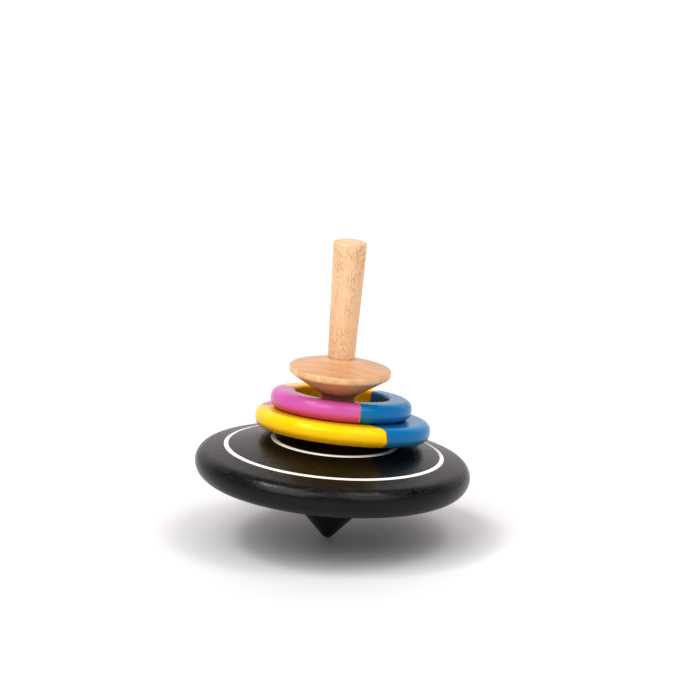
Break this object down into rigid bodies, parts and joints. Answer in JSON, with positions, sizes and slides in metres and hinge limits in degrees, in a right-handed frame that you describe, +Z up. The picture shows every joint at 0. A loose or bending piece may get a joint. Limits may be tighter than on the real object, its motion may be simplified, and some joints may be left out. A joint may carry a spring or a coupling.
{
  "type": "spinning top",
  "caption": "Finger-spun wooden top with a black disc, a flared stem with a collar, and loose three-coloured rings held captive under the collar.",
  "frame": {"origin": "lowest point of the tip, on the spindle's axis", "axes": "+Z up along the spindle, -Y towards the viewer of the picture, +X to the viewer's right"},
  "size_m": [0.06, 0.06, 0.066],
  "materials": {
    "black_lacquered_wood": "satin",
    "white_paint": "matte",
    "natural_wood": "satin",
    "lower_ring_paint": "gloss",
    "upper_ring_paint": "gloss"
  },
  "bodies": {
    "top": {"disc": "black_lacquered_wood", "outer_line": "white_paint", "inner_line": "white_paint", "spindle": "natural_wood"},
    "lower_ring": {"lower_ring": "lower_ring_paint"},
    "upper_ring": {"upper_ring": "upper_ring_paint"}
  },
  "joints": [
    {"name": "lower_ring_spin", "type": "hinge", "parent": "top", "child": "lower_ring", "pos_m": [0.00141, 0.0049, 0.02471], "axis": [0.0264, 0.0921, 0.9954], "continuous": true},
    {"name": "upper_ring_spin", "type": "hinge", "parent": "top", "child": "upper_ring", "pos_m": [0.00075, 0.00552, 0.02902], "axis": [0.0264, 0.0921, 0.9954], "continuous": true}
  ]
}
